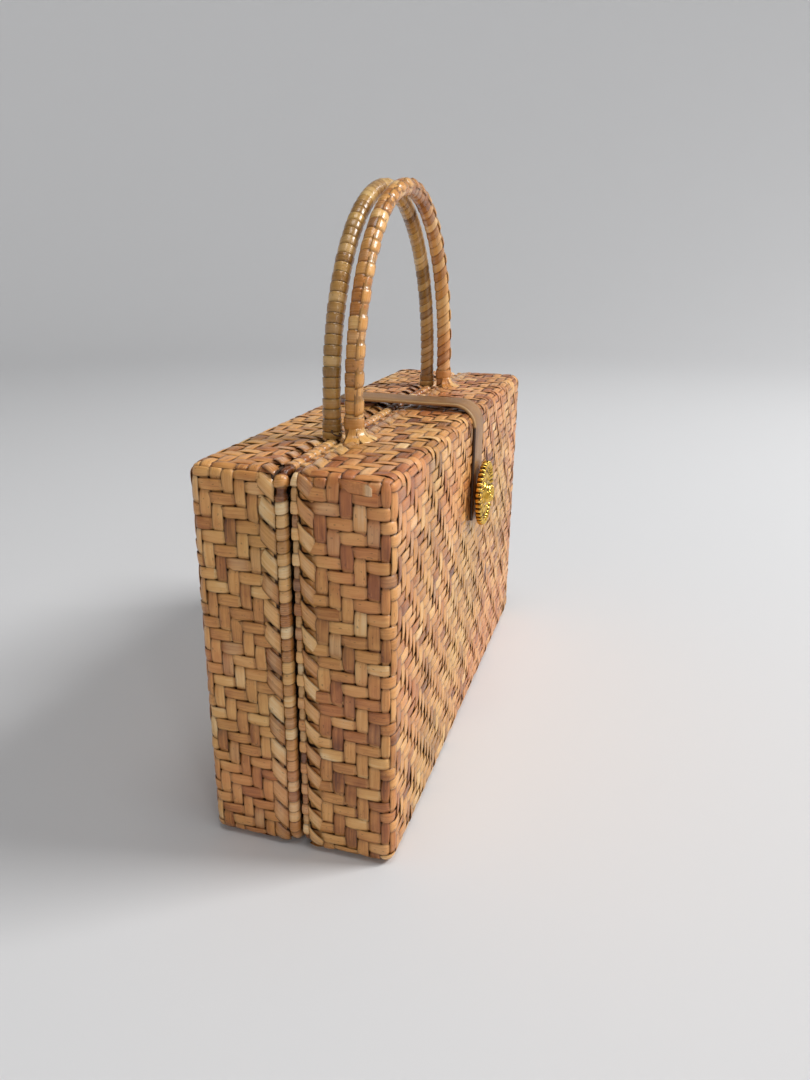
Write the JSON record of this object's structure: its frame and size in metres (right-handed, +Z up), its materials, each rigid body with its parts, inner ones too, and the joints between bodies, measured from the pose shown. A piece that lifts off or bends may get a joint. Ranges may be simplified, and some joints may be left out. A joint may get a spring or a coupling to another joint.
{
  "type": "woven box handbag",
  "caption": "Woven straw box handbag in halves hinged at the foot, with wrapped arch handles, a leather strap with a magnetic catch and a gilt rosette.",
  "frame": {"origin": "on the table, at the middle of the bag's bounding box along X and Y; the parting plane of the two halves is 6 mm behind it", "axes": "+X along the bag, +Y towards its back, +Z up"},
  "size_m": [0.304, 0.103, 0.3021],
  "materials": {
    "straw_body": "lacquered woven straw",
    "straw_rim": "lacquered straw, wound over the lip",
    "straw_back_handle": "dark lacquered straw wrap",
    "straw_front_handle": "lacquered straw wrap",
    "cane": "bare cane",
    "lining_cloth": "plain cotton over card",
    "strap_leather": "smooth khaki leather",
    "tab_leather": "smooth reddish-brown leather",
    "gilt": "polished gilt",
    "hinge_brass": "dull brass",
    "catch_steel": "dull steel"
  },
  "bodies": {
    "back_half": {"back_shell": "straw_body", "back_rim_cord": "straw_rim", "back_lining": "lining_cloth", "back_handle_core": "cane", "back_handle_wrap": "straw_back_handle", "back_handle_binding_left": "straw_back_handle", "back_handle_binding_right": "straw_back_handle", "back_hinge_leaf_left": "hinge_brass", "back_hinge_leaf_right": "hinge_brass", "hinge_pin_left": "catch_steel", "hinge_pin_right": "catch_steel", "catch_tab": "tab_leather", "catch_magnet": "catch_steel"},
    "front_half": {"front_shell": "straw_body", "front_lip_band": "straw_rim", "front_lining": "lining_cloth", "front_handle_core": "cane", "front_handle_wrap": "straw_front_handle", "front_handle_lacing": "straw_front_handle", "front_handle_binding_left": "straw_front_handle", "front_handle_binding_right": "straw_front_handle", "front_hinge_leaf_left": "hinge_brass", "front_hinge_leaf_right": "hinge_brass", "strap": "strap_leather", "strap_catch_disc": "catch_steel", "medallion": "gilt", "medallion_post": "gilt", "medallion_washer": "hinge_brass"}
  },
  "joints": [
    {"name": "front_open", "type": "hinge", "parent": "back_half", "child": "front_half", "pos_m": [0, 0.006, 0.0013], "axis": [1, 0, 0], "range_deg": [0, 120]}
  ]
}
